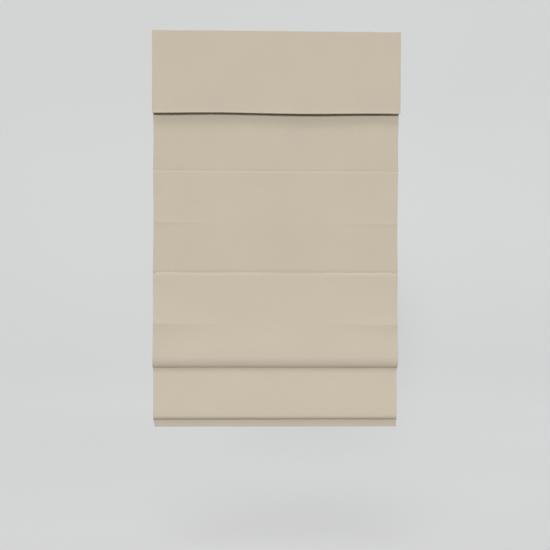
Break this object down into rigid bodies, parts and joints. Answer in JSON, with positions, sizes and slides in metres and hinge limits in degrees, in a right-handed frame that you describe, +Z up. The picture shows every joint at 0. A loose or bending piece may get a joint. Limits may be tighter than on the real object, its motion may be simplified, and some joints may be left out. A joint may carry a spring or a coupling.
{
  "type": "roman blind",
  "caption": "Cordless flat-fold roman blind for a window recess: a cloth panel with rods across its back gathers up behind a flat valance, lifted by a spring motor.",
  "frame": {"origin": "middle of the bracket screw holes, in the plane of the window head that the brackets meet", "axes": "+Z up, +X to the right and +Y to the back, towards the window, so the front faces -Y"},
  "size_m": [0.902, 0.0541, 1.442],
  "materials": {
    "cloth": "smooth plain weave",
    "headrail_metal": "white powder coat",
    "bracket_steel": "zinc plated",
    "white_plastic": "moulded satin",
    "clear_plastic": "translucent",
    "spring_steel": "rolled strip",
    "cord": "braided",
    "tape": "hook and loop",
    "rod": "pultruded"
  },
  "bodies": {
    "headrail": {"headrail": "headrail_metal", "end_cap_left": "white_plastic", "end_cap_right": "white_plastic", "bracket_left": "bracket_steel", "bracket_right": "bracket_steel", "spool_cradle_left": "white_plastic", "spool_cradle_right": "white_plastic", "motor_housing": "white_plastic", "motor_cover": "white_plastic", "spring_ribbon": "spring_steel", "lift_cord_left": "cord", "lift_cord_right": "cord", "hook_tape": "tape", "loop_tape": "tape", "valance": "cloth", "fabric_spline": "white_plastic", "fabric_panel": "cloth"},
    "lower_fold": {"fabric_fold": "cloth", "batten_1": "rod", "batten_2": "rod", "ring_row_1": "clear_plastic", "ring_row_2": "clear_plastic", "cord_adjuster_left": "white_plastic", "cord_adjuster_right": "white_plastic", "bottom_rail": "headrail_metal", "bottom_rail_cap_left": "white_plastic", "bottom_rail_cap_right": "white_plastic"},
    "rod_row_3": {"batten_3": "rod", "ring_row_3": "clear_plastic"},
    "rod_row_4": {"batten_4": "rod", "ring_row_4": "clear_plastic"},
    "lift_shaft": {"lift_shaft": "bracket_steel", "cord_spool_left": "clear_plastic", "cord_spool_right": "clear_plastic", "drive_drum": "clear_plastic"},
    "storage_drum": {"storage_drum": "clear_plastic"},
    "lever_left": {"bracket_lever_left": "bracket_steel"},
    "lever_right": {"bracket_lever_right": "bracket_steel"}
  },
  "joints": [
    {"name": "lift", "type": "slide", "parent": "headrail", "child": "lower_fold", "axis": [0, 0, 1], "range_m": [0, 1.1185], "deforming": ["fabric_panel", "lift_cord_left", "lift_cord_right"]},
    {"name": "rod_row_3_lift", "type": "slide", "parent": "headrail", "child": "rod_row_3", "axis": [0, 0, 1], "range_m": [0, 0.8]},
    {"name": "rod_row_4_lift", "type": "slide", "parent": "headrail", "child": "rod_row_4", "axis": [0, 0, 1], "range_m": [0, 0.442]},
    {"name": "lift_shaft_turn", "type": "hinge", "parent": "headrail", "child": "lift_shaft", "pos_m": [0, 0.0103, -0.023], "axis": [1, 0, 0], "range_deg": [0, 7150]},
    {"name": "storage_drum_turn", "type": "hinge", "parent": "headrail", "child": "storage_drum", "pos_m": [0, -0.0103, -0.023], "axis": [1, 0, 0], "range_deg": [-7150, 0]},
    {"name": "lever_left_turn", "type": "hinge", "parent": "headrail", "child": "lever_left", "pos_m": [-0.358, 0, 0], "axis": [0, 0, 1], "range_deg": [0, 90]},
    {"name": "lever_right_turn", "type": "hinge", "parent": "headrail", "child": "lever_right", "pos_m": [0.358, 0, 0], "axis": [0, 0, -1], "range_deg": [0, 90]}
  ],
  "couplings": [
    {"joint": "rod_row_3_lift", "follows": "lift", "ratio": 0.71196},
    {"joint": "rod_row_4_lift", "follows": "lift", "ratio": 0.3922},
    {"joint": "lift_shaft_turn", "follows": "lift", "rad_per_m": 110.5},
    {"joint": "storage_drum_turn", "follows": "lift", "rad_per_m": -110.5}
  ]
}
